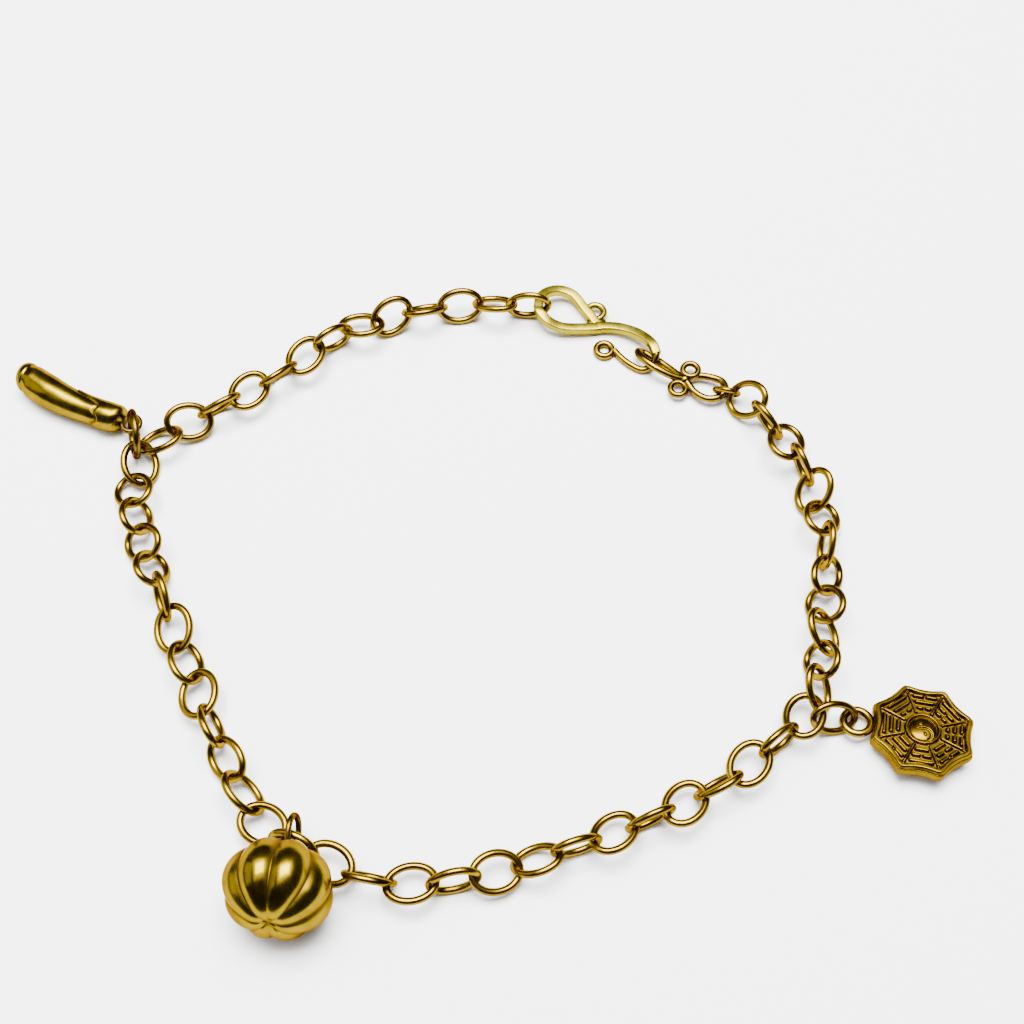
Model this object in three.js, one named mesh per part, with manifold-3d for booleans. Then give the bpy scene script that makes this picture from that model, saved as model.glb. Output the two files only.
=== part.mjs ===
// Charm bracelet lying on a flat surface: an oval cable chain closed by a hook and eye,
// with an aubergine, a melon and an octagonal charm. Millimetres, +Z up.
// The plan's tables count from a point inside the loop; PLAN_MIDDLE moves the finished
// bracelet so that the middle of its outline lies on the origin.
import * as THREE from 'three';
import { mergeVertices } from 'three/addons/utils/BufferGeometryUtils.js';
import Module from 'manifold-3d';

const wasm = await Module();
wasm.setup();

// Driving dimensions
const LINK = { length: 4.85, width: 3.85, wire: 0.68, steps: 12, sides: 6 };
const BITE = 0.07; // how far two chain links press into each other where they bear
const CHAIN_GAP = 0.27; // clear space where the two halves of the chain meet
const HOOK = { width: 0.76, height: 0.9, wire: 0.7 };
const EYE = { wire: 0.74, curl: 0.78, curlWire: 0.55 };
const EYE_RING = { radius: 1.15, wire: 0.55 };
const AUBERGINE = { length: 12.4, radius: 1.65 };
const MELON = { radius: 4.65, pole: 3.8, lobes: 8, groove: 0.5 };
const OCTAGON = { tip: 4.85, waist: 4.15, thick: 1, relief: 0.35, rim: 0.5, tilt: 10 };
const PLAN_MIDDLE = { x: -3.98, y: -7.99 };

// The chain's plan. Knot n is where link n - 1 bears on link n; the knots between two rows
// follow a smooth curve.
const ROUTE = [
  { knot: 0, x: 3.3, y: 22.4 }, // clasp hook
  { knot: 2, x: -3.4, y: 22.9 },
  { knot: 4, x: -10.5, y: 21.8 },
  { knot: 6, x: -16.4, y: 19.5 },
  { knot: 9, x: -24.2, y: 13.4 },
  { knot: 13, x: -35.0, y: 6.2 }, // aubergine's corner
  { knot: 14, x: -35.9, y: 3.0 },
  { knot: 16, x: -34.6, y: -2.9 },
  { knot: 18, x: -32.4, y: -8.3 },
  { knot: 21, x: -28.3, y: -17.7 },
  { knot: 24, x: -23.8, y: -26.8 },
  { knot: 26, x: -20.0, y: -32.42 }, // behind the melon
  { knot: 27, x: -16.6, y: -33.85 },
  { knot: 28, x: -13.6, y: -35.4 },
  { knot: 30, x: -6.6, y: -36.3 },
  { knot: 33, x: 3.8, y: -33.6 },
  { knot: 37, x: 16.2, y: -28.6 },
  { knot: 40, x: 24.4, y: -22.6 },
  { knot: 41, x: 26.6, y: -20.2 }, // octagon's corner
  { knot: 43, x: 27.7, y: -14.7 },
  { knot: 46, x: 28.9, y: -6.2 },
  { knot: 48, x: 28.7, y: -0.2 },
  { knot: 50, x: 26.9, y: 5.2 },
  { knot: 53, x: 21.95, y: 12.6 }, // clasp eye
];

// How each link leans about its own run, in degrees (0 lies flat, 90 stands, above 0 its
// inner side is raised), and to which side a slack link has turned in its own plane.
const RUNS = [
  { lean: [90, 35, -60, 45, -60, 20, 85, 5, 60, 0, 65, -40, 30], turn: '--+++-++++---' },
  { lean: [-30, 25, -55, 40, -50, 75, 20, -45, 15, -70, 45, -50, 5], turn: '++-+------+++' },
  { lean: [66], turn: '+' },
  { lean: [12, -70, -10, 80, 20, -35, 90, -20, -85, -10, -65, -10, 85, -15], turn: '+++++--+-+-+-+' },
  { lean: [55, -55, 45, -45, 45, -80, 30, -45, 80, 20, 75, -50], turn: '++++----+-++' },
];
const LINKS = RUNS.flatMap(({ lean, turn }) =>
  lean.map((degrees, i) => ({ lean: THREE.MathUtils.degToRad(degrees), turn: turn[i] === '+' ? 1 : -1 })));
const HOOK_SIDE_LINKS = 27;

// Solids: three.js geometry to a manifold solid, joins, and back
function solid(geometry, matrix = new THREE.Matrix4()) {
  let g = geometry.clone().applyMatrix4(matrix);
  g.deleteAttribute('normal');
  g.deleteAttribute('uv');
  g = mergeVertices(g, 1e-4);
  const vertProperties = new Float32Array(g.attributes.position.array);
  const triVerts = new Uint32Array(g.index.array);
  return new wasm.Manifold(new wasm.Mesh({ numProp: 3, vertProperties, triVerts }));
}

function joined(solids) {
  return solids.reduce((sum, next) => sum.add(next));
}

function mesh(name, shape, finish) {
  const { vertProperties, triVerts } = shape.getMesh();
  const geometry = new THREE.BufferGeometry();
  geometry.setAttribute('position', new THREE.BufferAttribute(new Float32Array(vertProperties), 3));
  geometry.setIndex(new THREE.BufferAttribute(new Uint32Array(triVerts), 1));
  geometry.computeVertexNormals();
  const result = new THREE.Mesh(geometry, new THREE.MeshStandardMaterial({ metalness: 1, ...finish }));
  result.name = name;
  return result;
}

const vec = (x, y, z) => new THREE.Vector3(x, y, z);
const UP = vec(0, 0, 1);

// A matrix that sets local X along `along` and local Z as near as it can to `up`
function placed(origin, along, up = UP) {
  const x = along.clone().normalize();
  const y = up.clone().cross(x).normalize();
  const z = x.clone().cross(y);
  return new THREE.Matrix4().makeBasis(x, y, z).setPosition(origin);
}

// An oval ring: a round ring whose sections slide out along X, so that the wire stays round
function ovalRing({ length, width, wire, steps = 12, sides = 6 }) {
  const geometry = new THREE.TorusGeometry((width - wire) / 2, wire / 2, sides, steps);
  const position = geometry.attributes.position;
  for (let i = 0; i < position.count; i++) {
    const angle = Math.atan2(position.getY(i), position.getX(i));
    position.setX(i, position.getX(i) + ((length - width) / 2) * Math.cos(angle));
  }
  return geometry;
}

const roundRing = (radius, wire, steps = 12) =>
  ovalRing({ length: 2 * radius + wire, width: 2 * radius + wire, wire, steps });

// A wire bent along a smooth curve through `points`; its section is `tall` high, `wide` across
function bentWire(points, wide, tall, steps) {
  const section = new THREE.Shape();
  section.absellipse(0, 0, tall / 2, wide / 2, 0, 2 * Math.PI);
  const extrudePath = new THREE.CatmullRomCurve3(points, false, 'centripetal');
  return new THREE.ExtrudeGeometry(section, { steps, curveSegments: 4, extrudePath });
}

// The chain
function knotPlan(knot) {
  const speed = (i) => {
    const before = ROUTE[Math.max(i - 1, 0)];
    const after = ROUTE[Math.min(i + 1, ROUTE.length - 1)];
    const span = after.knot - before.knot;
    return { x: (after.x - before.x) / span, y: (after.y - before.y) / span };
  };
  const i = Math.max(ROUTE.findIndex((row) => row.knot >= knot) - 1, 0);
  const [a, b] = [ROUTE[i], ROUTE[i + 1]];
  const [va, vb] = [speed(i), speed(i + 1)];
  const h = b.knot - a.knot;
  const t = (knot - a.knot) / h;
  const blend = (pa, pb, sa, sb) =>
    (2 * t ** 3 - 3 * t ** 2 + 1) * pa + (3 * t ** 2 - 2 * t ** 3) * pb
    + h * ((t ** 3 - 2 * t ** 2 + t) * sa + (t ** 3 - t ** 2) * sb);
  return { x: blend(a.x, b.x, va.x, vb.x), y: blend(a.y, b.y, va.y, vb.y) };
}

// Where a link's knots are closer than its opening is long, it has turned in its own plane
// until its wire bears on both
function linkYaw(index, bites = 2 * BITE) {
  const [from, to] = [knotPlan(index), knotPlan(index + 1)];
  const long = LINK.length / 2 - LINK.wire;
  const short = LINK.width / 2 - LINK.wire;
  const reach = Math.min((Math.hypot(to.x - from.x, to.y - from.y) - bites) / 2, long);
  const share = ((long * short / reach) ** 2 - short ** 2) / (long ** 2 - short ** 2);
  return LINKS[index].turn * Math.asin(Math.sqrt(THREE.MathUtils.clamp(share, 0, 1)));
}

// How far a link's wire reaches above and below its middle
function linkRise(index) {
  if (!LINKS[index]) return 0;
  const yaw = linkYaw(index);
  const long = (LINK.length - LINK.wire) / 2;
  const short = (LINK.width - LINK.wire) / 2;
  return Math.hypot(long * Math.sin(yaw), short * Math.cos(yaw)) * Math.abs(Math.sin(LINKS[index].lean));
}

// Both links at a knot clear the surface by the height that the steeper one needs
function knotAt(knot) {
  const z = LINK.wire / 2 + Math.max(linkRise(knot - 1), linkRise(knot));
  const { x, y } = knotPlan(knot);
  return vec(x, y, z);
}

function linkMatrix(index, startBite = BITE) {
  const [from, to] = [knotAt(index), knotAt(index + 1)];
  const along = to.clone().sub(from).normalize();
  const middle = from.clone().add(to).multiplyScalar(0.5).addScaledVector(along, (startBite - BITE) / 2);
  return placed(middle, along)
    .multiply(new THREE.Matrix4().makeRotationX(LINKS[index].lean))
    .multiply(new THREE.Matrix4().makeRotationZ(linkYaw(index, startBite + BITE)));
}

function chain(first, last, openStart) {
  const links = [];
  for (let i = first; i <= last; i++) {
    const startBite = i === first && openStart ? -CHAIN_GAP - BITE : BITE;
    links.push(solid(ovalRing(LINK), linkMatrix(i, startBite)));
  }
  return joined(links);
}

// The clasp hook: a flattened wire with a teardrop loop, a soldered curl, and an S that
// turns back through the eye and ends in a curl
function claspHook() {
  const drop = [
    vec(8.9, 20.7, 0.75), vec(6.8, 20.5, 0.9), vec(4.8, 20.5, 1.15), vec(3.4, 21.1, 1.6),
    vec(2.65, 22.3, 1.9), vec(3.1, 24.0, 1.75), vec(4.6, 24.9, 1.35), vec(6.1, 24.5, 1.15),
    vec(7.3, 22.9, 0.95), vec(8.5, 21.2, 0.75),
  ];
  const body = [
    vec(8.3, 20.8, 0.75), vec(10.6, 20.6, 0.9), vec(12.6, 19.6, 1.25), vec(13.9, 18.2, 1.5),
    vec(14.3, 17.1, 1.4), vec(13.7, 16.1, 0.65), vec(12.9, 15.9, 0.4), vec(11.9, 16.4, 0.38),
    vec(10.9, 17.3, 0.38), vec(10.2, 18.2, 0.38),
  ];
  const at = (x, y, z) => new THREE.Matrix4().makeTranslation(x, y, z);
  const solder = new THREE.SphereGeometry(0.75, 12, 8).scale(1.1, 1, 0.6);
  return joined([
    solid(bentWire(drop, HOOK.width, HOOK.height, 18)),
    solid(bentWire(body, HOOK.wire, HOOK.height - 0.15, 20)),
    solid(roundRing(0.88, 0.6, 10), at(8.4, 22.6, 0.8)),
    solid(roundRing(0.8, 0.62, 10), at(9.2, 18.3, 0.38)),
    solid(solder, at(8.5, 21.2, 0.75)),
  ]);
}

// The clasp eye: a figure of eight in wire, its long half over the hook, with a small curl
// to each side of the crossing
function claspEye() {
  const crossing = vec(17.0, 14.4, 0.9);
  const long = [
    crossing, vec(15.4, 16.2, 0.45), vec(14.0, 17.4, 0.38), vec(12.9, 17.9, 0.6),
    vec(12.5, 17.6, 1.05), vec(12.9, 16.5, 1.5), vec(14.2, 15.3, 1.55), vec(15.8, 14.6, 1.2), crossing,
  ];
  const round = [
    crossing, vec(18.3, 14.9, 0.8), vec(19.8, 14.6, 0.9), vec(20.7, 14.0, 1.05), vec(20.85, 13.0, 1.15),
    vec(20.1, 12.2, 1.05), vec(19.0, 12.2, 0.9), vec(17.9, 13.0, 0.8), crossing,
  ];
  const half = (points) => {
    const near = (a, b) => a.clone().lerp(b, 0.1);
    const ends = [near(points[0], points[1]), near(points.at(-1), points.at(-2))];
    return solid(bentWire([ends[0], ...points.slice(1, -1), ends[1]], EYE.wire, EYE.wire, 17));
  };
  const curl = (x, y, z) =>
    solid(roundRing(EYE.curl, EYE.curlWire, 10), new THREE.Matrix4().makeTranslation(x, y, z));
  const joint = new THREE.SphereGeometry(0.55, 10, 8).translate(...crossing.toArray());
  return joined([half(long), half(round), solid(joint), curl(17.6, 15.4, 1.1), curl(16.3, 13.4, 0.8)]);
}

// The aubergine: turned about its own axis, then bent in the plan
const AUBERGINE_PROFILE = [
  { along: 0, radius: 0 },
  { along: 0.02, radius: 0.42 },
  { along: 0.07, radius: 0.78 },
  { along: 0.16, radius: 0.98 },
  { along: 0.32, radius: 1 },
  { along: 0.5, radius: 0.9 },
  { along: 0.66, radius: 0.8 },
  { along: 0.74, radius: 0.8 },
  { along: 0.745, radius: 0.96 }, // rim of the calyx
  { along: 0.85, radius: 0.92 },
  { along: 0.93, radius: 0.7 },
  { along: 0.95, radius: 0.42 }, // stem
  { along: 1, radius: 0.36 },
  { along: 1, radius: 0 },
];
const AUBERGINE_TIP = vec(-48.3, 14.9, AUBERGINE.radius);
const AUBERGINE_STEM = vec(-36.9, 9.0, 1.5);
const AUBERGINE_SAG = 0.75; // how far its middle bows off the straight line

function aubergine() {
  const { length, radius } = AUBERGINE;
  const profile = AUBERGINE_PROFILE.map((row) => new THREE.Vector2(row.radius * radius, row.along * length));
  const fruit = new THREE.LatheGeometry(profile, 14).rotateZ(-Math.PI / 2);
  const position = fruit.attributes.position;
  for (let i = 0; i < position.count; i++) {
    const share = position.getX(i) / length;
    position.setY(i, position.getY(i) - 4 * AUBERGINE_SAG * share * (1 - share));
  }
  const along = AUBERGINE_STEM.clone().sub(AUBERGINE_TIP);
  const loop = roundRing(0.88, 0.5, 10).translate(length + 0.6, 0, 0);
  const matrix = placed(AUBERGINE_TIP, along);
  return joined([solid(fruit, matrix), solid(loop, matrix)]);
}

// The melon: a flattened ball whose lobes meet in sharp grooves, a blossom scar at the near
// pole and a stem loop at the far one
const MELON_MIDDLE = vec(-19.0, -37.36, 4.38);
const MELON_STEM = vec(0.12, 0.92, -0.37).normalize();

function melon() {
  const { radius, pole, lobes, groove } = MELON;
  const body = new THREE.SphereGeometry(1, lobes * 4, 11).rotateX(Math.PI / 2);
  const position = body.attributes.position;
  const point = vec(0, 0, 0);
  for (let i = 0; i < position.count; i++) {
    point.fromBufferAttribute(position, i);
    const lobe = Math.abs(Math.sin((Math.atan2(point.y, point.x) * lobes) / 2));
    const ring = Math.hypot(point.x, point.y);
    const depth = groove * Math.min(ring * 1.6, 1) * (1 - lobe);
    const dimple = 0.5 * Math.exp(-((ring / 0.22) ** 2));
    const wide = radius - depth;
    position.setXYZ(i, point.x * wide, point.y * wide, point.z * (pole - 0.5 * depth - dimple));
  }
  const stem = new THREE.CylinderGeometry(0.5, 0.7, 0.8, 10).rotateX(Math.PI / 2).translate(0, 0, pole - 0.4);
  const loop = roundRing(0.72, 0.42, 12).rotateX(Math.PI / 2).translate(0, 0, pole + 0.55);
  const back = MELON_STEM.clone().cross(vec(1, 0, 0)).normalize();
  const across = back.clone().cross(MELON_STEM);
  const matrix = new THREE.Matrix4().makeBasis(across, back, MELON_STEM).setPosition(MELON_MIDDLE);
  return joined([solid(body, matrix), solid(stem, matrix), solid(loop, matrix)]);
}

// The octagon: a cast plate with eight points and hollow sides; raised rim, eight ridges,
// three bars to a field, and a ring round a domed middle
const OCTAGON_MIDDLE = vec(35.7, -22.8, 0);
const OCTAGON_TURN = 101; // degrees from +X to its first point
const BARS = [
  { at: 2.05, length: 0.95 },
  { at: 2.65, length: 1.3 },
  { at: 3.25, length: 1.7 },
];

function octagonOutline(scale) {
  const outline = new THREE.Shape();
  const polar = (radius, degrees) => {
    const angle = THREE.MathUtils.degToRad(degrees);
    return [radius * Math.cos(angle), radius * Math.sin(angle)];
  };
  outline.moveTo(...polar(OCTAGON.tip - scale * 1.05, 0));
  for (let side = 0; side < 8; side++) {
    const bend = 2 * (OCTAGON.waist - scale) - (OCTAGON.tip - scale * 1.05) * Math.cos(Math.PI / 8);
    outline.quadraticCurveTo(...polar(bend, 45 * side + 22.5), ...polar(OCTAGON.tip - scale * 1.05, 45 * side + 45));
  }
  return outline;
}

function octagon() {
  const { thick, relief, rim } = OCTAGON;
  const extruded = (shape, depth, z) =>
    solid(new THREE.ExtrudeGeometry(shape, { depth, bevelEnabled: false, curveSegments: 4 }).translate(0, 0, z));
  const border = octagonOutline(0);
  border.holes.push(octagonOutline(rim));
  const parts = [extruded(octagonOutline(0), thick, 0), extruded(border, relief + 0.1, thick - 0.1)];
  for (let i = 0; i < 8; i++) {
    const turned = (degrees) => new THREE.Matrix4().makeRotationZ(THREE.MathUtils.degToRad(degrees));
    const ridge = new THREE.BoxGeometry(2.75, 0.22, relief).translate(3.03, 0, thick + relief / 2 - 0.1);
    parts.push(solid(ridge, turned(45 * i)));
    for (const { at, length } of BARS) {
      const bar = new THREE.BoxGeometry(0.3, length, relief).translate(at, 0, thick + relief / 2 - 0.12);
      parts.push(solid(bar, turned(45 * i + 22.5)));
    }
  }
  parts.push(solid(roundRing(1.45, 0.36, 12).translate(0, 0, thick)));
  parts.push(solid(new THREE.SphereGeometry(1.05, 12, 6).scale(1, 1, 0.5).translate(0, 0, thick)));
  const loop = roundRing(1.2, 0.72, 10).translate(-5.6, 0, thick / 2);
  const loopTurn = new THREE.Matrix4().makeRotationZ(THREE.MathUtils.degToRad(168.5 - 180 - OCTAGON_TURN));
  parts.push(solid(loop, loopTurn));
  const turn = new THREE.Matrix4().makeRotationZ(THREE.MathUtils.degToRad(OCTAGON_TURN));
  return joined(parts).transform(turn.elements);
}

function tiltedOctagon() {
  const tilt = new THREE.Matrix4().makeRotationX(-THREE.MathUtils.degToRad(OCTAGON.tilt));
  const flat = octagon().transform(tilt.elements);
  const low = flat.boundingBox().min[2];
  const { x, y } = OCTAGON_MIDDLE;
  return flat.translate([x, y, -low]);
}

// Loose rings: middle, long axis and face direction
const RINGS = {
  aubergine: {
    size: { length: 4.9, width: 4.9, wire: 0.7 },
    middle: vec(-36.07, 7.17, 2.42), along: vec(0.21, -0.97, -0.16), face: vec(0.95, 0.24, -0.22),
  },
  melon: {
    size: { length: 3.24, width: 3.24, wire: 0.54 },
    middle: vec(-18.28, -32.06, 2.74), along: vec(0.02, 0.88, 0.48), face: vec(0.98, -0.11, 0.17),
  },
  octagon: {
    size: { length: 4.7, width: 3.5, wire: 0.64 },
    middle: vec(28.12, -21.47, 1.7), along: vec(0.92, 0.03, -0.4), face: vec(0.24, -0.83, 0.51),
  },
};

function looseRing({ size, middle, along, face }) {
  return solid(ovalRing(size), placed(middle, along, face));
}

const GOLD = { color: 0xb08f30, roughness: 0.22 };
const BRIGHT_GOLD = { color: 0xd9bf62, roughness: 0.2 };
const DEEP_GOLD = { color: 0x8f7420, roughness: 0.26 };

const bracelet = new THREE.Group();
bracelet.add(
  mesh('chain_hook_side', chain(0, HOOK_SIDE_LINKS - 1, false), GOLD),
  mesh('chain_eye_side', joined([
    chain(HOOK_SIDE_LINKS, LINKS.length - 1, true),
    solid(roundRing(EYE_RING.radius, EYE_RING.wire), placed(vec(20.94, 12.66, 1.38), vec(0.13, -0.43, 0.89), vec(0.2, 0.89, 0.4))),
  ]), GOLD),
  mesh('clasp_hook', claspHook(), BRIGHT_GOLD),
  mesh('clasp_eye', claspEye(), GOLD),
  mesh('aubergine_charm', aubergine(), GOLD),
  mesh('aubergine_ring', looseRing(RINGS.aubergine), DEEP_GOLD),
  mesh('melon_charm', melon(), GOLD),
  mesh('melon_ring', looseRing(RINGS.melon), DEEP_GOLD),
  mesh('octagon_charm', tiltedOctagon(), GOLD),
  mesh('octagon_link', looseRing(RINGS.octagon), GOLD),
);
const lowest = new THREE.Box3().setFromObject(bracelet).min.z;
bracelet.position.set(-PLAN_MIDDLE.x, -PLAN_MIDDLE.y, -lowest);
export default bracelet;
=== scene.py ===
"""Looks of a gold-coloured charm bracelet that lies closed on a pale surface.

The chain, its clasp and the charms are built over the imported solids, in the same frame.
Sizes are in millimetres until a finished mesh is moved to the frame, which is in metres.
"""

from __future__ import annotations

import logging
import math
from dataclasses import dataclass, field
from enum import Enum
from typing import Sequence

import bpy
import numpy as np
from mathutils import Matrix, Vector


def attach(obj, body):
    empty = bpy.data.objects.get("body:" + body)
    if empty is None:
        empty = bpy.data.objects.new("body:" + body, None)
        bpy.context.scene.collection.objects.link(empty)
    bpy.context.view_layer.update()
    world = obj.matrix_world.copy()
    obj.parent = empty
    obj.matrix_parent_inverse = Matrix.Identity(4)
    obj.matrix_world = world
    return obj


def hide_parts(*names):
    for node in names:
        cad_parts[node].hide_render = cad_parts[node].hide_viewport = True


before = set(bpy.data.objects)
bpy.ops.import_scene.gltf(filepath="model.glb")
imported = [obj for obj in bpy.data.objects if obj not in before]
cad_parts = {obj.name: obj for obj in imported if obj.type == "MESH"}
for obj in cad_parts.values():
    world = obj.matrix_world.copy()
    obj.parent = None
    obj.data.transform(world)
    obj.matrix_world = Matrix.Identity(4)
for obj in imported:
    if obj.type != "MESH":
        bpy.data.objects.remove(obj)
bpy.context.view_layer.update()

LOG = logging.getLogger("charm_bracelet")
MM = 0.001
BODY = "root"

# The plan's tables count from a point inside the loop, as the solids' own tables do.
PLAN_MIDDLE_MM = (-3.98, -7.99)
LIFT_MM = 0.046

FULL_TURN = 2 * math.pi
EIGHTH_TURN = math.pi / 4

# Blender names the Mix node's colour sockets alike for every data type, so they go by number.
MIX_A, MIX_B, MIX_RESULT = 6, 7, 2

Vec = tuple[float, float, float]


def to_frame(points: np.ndarray) -> np.ndarray:
    """Moves points from the plan's millimetres to the frame's metres.

    Args:
        points: Rows of x, y and z in plan millimetres.

    Returns:
        The same rows in the frame, in metres.
    """
    return (np.asarray(points, float) - [*PLAN_MIDDLE_MM, -LIFT_MM]) * MM


def smoothstep(low: float, high: float, value: np.ndarray) -> np.ndarray:
    """Rises smoothly from 0 at low to 1 at high.

    Args:
        low: Where the rise starts.
        high: Where it ends; it may be below low for a fall.
        value: The values to grade.

    Returns:
        The graded values.
    """
    t = np.clip((np.asarray(value, float) - low) / (high - low), 0.0, 1.0)
    return t * t * (3.0 - 2.0 * t)


def srgb(code: str) -> tuple[float, float, float, float]:
    """Turns an sRGB hex colour to linear RGBA.

    Args:
        code: Six hex digits, with or without a leading #.

    Returns:
        Linear red, green and blue, and an alpha of 1.
    """
    parts = [int(code.lstrip("#")[i:i + 2], 16) / 255 for i in (0, 2, 4)]
    linear = [p / 12.92 if p <= 0.04045 else ((p + 0.055) / 1.055) ** 2.4 for p in parts]
    return (linear[0], linear[1], linear[2], 1.0)


def add_node(tree: bpy.types.NodeTree, kind: str, settings: dict | None = None,
             inputs: dict | None = None) -> bpy.types.Node:
    """Adds a node with its settings, values and links.

    Args:
        tree: The tree that it goes in.
        kind: Blender's name for the node.
        settings: The node's own properties.
        inputs: Socket name or number to a value, or to an output socket to link from.

    Returns:
        The new node.
    """
    node = tree.nodes.new(kind)
    for name, value in (settings or {}).items():
        setattr(node, name, value)
    for key, value in (inputs or {}).items():
        if isinstance(value, bpy.types.NodeSocket):
            tree.links.new(value, node.inputs[key])
        else:
            node.inputs[key].default_value = value
    return node


# Finishes


@dataclass(frozen=True)
class GoldFinish:
    """Polished gold-coloured metal: a warm mirror, dulled where fingers and polish don't reach,
    with painted shade in its hollows.

    Colours are sRGB: bare metal, metal under a film, painted shade and tarnish in hollows, and the
    metal's mirror seen edge on.
    """

    name: str
    metal: str = "654e0a"
    worn: str = "7c6316"
    hollow_shade_and_tarnish: str = "2e1a06"
    grazing: str = "c4b080"
    roughness: float = 0.2
    film_mm: float = 2.4
    wave_mm: float = 1.6
    wave_depth_mm: float = 0.012
    rub_mm: float = 0.18
    rub_depth_mm: float = 0.0012
    hollow_strength: float = 0.0
    hollow_rough: float = 0.2

    def material(self) -> bpy.types.Material:
        """Builds the metal's node tree.

        Returns:
            The material, named for the finish.
        """
        made = bpy.data.materials.new(self.name)
        made.use_nodes = True
        tree = made.node_tree
        tree.nodes.clear()
        place = add_node(tree, "ShaderNodeTexCoord").outputs["Object"]
        # Film of polish residue and skin oil, in patches a few millimetres wide
        film = add_node(tree, "ShaderNodeTexNoise", {"noise_dimensions": "3D"}, {
            "Vector": place, "Scale": 1 / (self.film_mm * MM), "Detail": 4.0, "Roughness": 0.6})
        patches = add_node(tree, "ShaderNodeMapRange", {"interpolation_type": "SMOOTHSTEP"}, {
            "Value": film.outputs["Fac"], "From Min": 0.35, "From Max": 0.68})
        bare = add_node(tree, "ShaderNodeMix", {"data_type": "RGBA"}, {
            "Factor": patches.outputs["Result"], MIX_A: srgb(self.metal),
            MIX_B: srgb(self.worn)})
        colour = bare.outputs[MIX_RESULT]
        rough = add_node(tree, "ShaderNodeMapRange", None, {
            "Value": film.outputs["Fac"], "From Min": 0.3, "From Max": 0.7,
            "To Min": self.roughness * 0.8, "To Max": self.roughness * 1.3}).outputs["Result"]
        if self.hollow_strength:
            # Painted shade and brown tarnish in the hollows of a casting, darker where the hollow
            # is deeper
            hollow = add_node(tree, "ShaderNodeAttribute", {"attribute_name": "hollow"})
            share = add_node(tree, "ShaderNodeMath", {"operation": "MULTIPLY"}, {
                0: hollow.outputs["Fac"], 1: self.hollow_strength})
            dark = add_node(tree, "ShaderNodeMix", {"data_type": "RGBA"}, {
                "Factor": share.outputs["Value"], MIX_A: colour, MIX_B: srgb(self.hollow_shade_and_tarnish)})
            colour = dark.outputs[MIX_RESULT]
            dull = add_node(tree, "ShaderNodeMath", {"operation": "MULTIPLY_ADD"}, {
                0: hollow.outputs["Fac"], 1: self.hollow_rough, 2: rough})
            rough = dull.outputs["Value"]
        # Waves left by hand polishing, and fine rubbing marks over them
        wave = add_node(tree, "ShaderNodeTexNoise", {"noise_dimensions": "3D"}, {
            "Vector": place, "Scale": 1 / (self.wave_mm * MM), "Detail": 1.5, "Roughness": 0.45})
        rubbed = add_node(tree, "ShaderNodeTexNoise", {"noise_dimensions": "3D"}, {
            "Vector": place, "Scale": 1 / (self.rub_mm * MM), "Detail": 2.0, "Roughness": 0.6})
        first = add_node(tree, "ShaderNodeBump", None, {
            "Strength": 1.0, "Distance": self.wave_depth_mm * MM, "Height": wave.outputs["Fac"]})
        second = add_node(tree, "ShaderNodeBump", None, {
            "Strength": 1.0, "Distance": self.rub_depth_mm * MM,
            "Height": rubbed.outputs["Fac"], "Normal": first.outputs["Normal"]})
        shader = add_node(tree, "ShaderNodeBsdfPrincipled", None, {
            "Base Color": colour, "Metallic": 1.0, "Roughness": rough,
            "Specular Tint": srgb(self.grazing), "Normal": second.outputs["Normal"]})
        add_node(tree, "ShaderNodeOutputMaterial", None, {"Surface": shader.outputs["BSDF"]})
        return made


class Finish(Enum):
    """The bracelet's finishes, one for each way that its parts were made."""

    # Drawn through a plate, so smooth along its length; the thin film makes it olive
    WIRE = GoldFinish("drawn_gold_wire", wave_mm=2.2, wave_depth_mm=0.006)
    # Beaten flat and rubbed bright on top, with shallow hammer facets
    FLATTENED = GoldFinish("hammered_gold_wire", metal="7c6e19", worn="958527", grazing="d6ca90",
                           roughness=0.28, wave_mm=1.2, wave_depth_mm=0.01)
    # Wire that nobody polishes, brown with tarnish
    DARK_WIRE = GoldFinish("tarnished_gold_wire", metal="4a3a12", worn="5e4c1c", grazing="9c8c62",
                           roughness=0.26)
    # Cast and buffed by hand: soft broad highlights that waver, painted shade and brown tarnish in
    # the grooves
    SMOOTH_CAST = GoldFinish("polished_gold_casting", metal="604e05", worn="786409", roughness=0.2,
                             wave_mm=1.8, wave_depth_mm=0.04, hollow_strength=0.6)
    # Cast in relief: polish reaches the raised parts only, and the recesses get painted shade and
    # brown tarnish
    RELIEF_CAST = GoldFinish("relief_gold_casting", metal="523f04", worn="695309", roughness=0.22,
                             wave_mm=1.4, wave_depth_mm=0.012, hollow_strength=0.6,
                             hollow_rough=0.12)


class Workshop:
    """Keeps one material for each finish and sets finished pieces down in the frame."""

    def __init__(self) -> None:
        """Starts with no materials made."""
        self.materials: dict[Finish, bpy.types.Material] = {}

    def material(self, finish: Finish) -> bpy.types.Material:
        """Gives a finish's material, made when first asked for.

        Args:
            finish: The finish wanted.

        Returns:
            Its material.
        """
        if finish not in self.materials:
            self.materials[finish] = finish.value.material()
        return self.materials[finish]

    def set_down(self, piece: bpy.types.Object, nodes: Sequence[str]) -> None:
        """Makes a piece ride on the bracelet and stand for its solids.

        Args:
            piece: The finished piece.
            nodes: The solids that it stands for.
        """
        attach(piece, BODY)
        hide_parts(*nodes)
        LOG.info("%s: %d faces, for %s", piece.name, len(piece.data.polygons), ", ".join(nodes))


# Meshes


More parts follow.
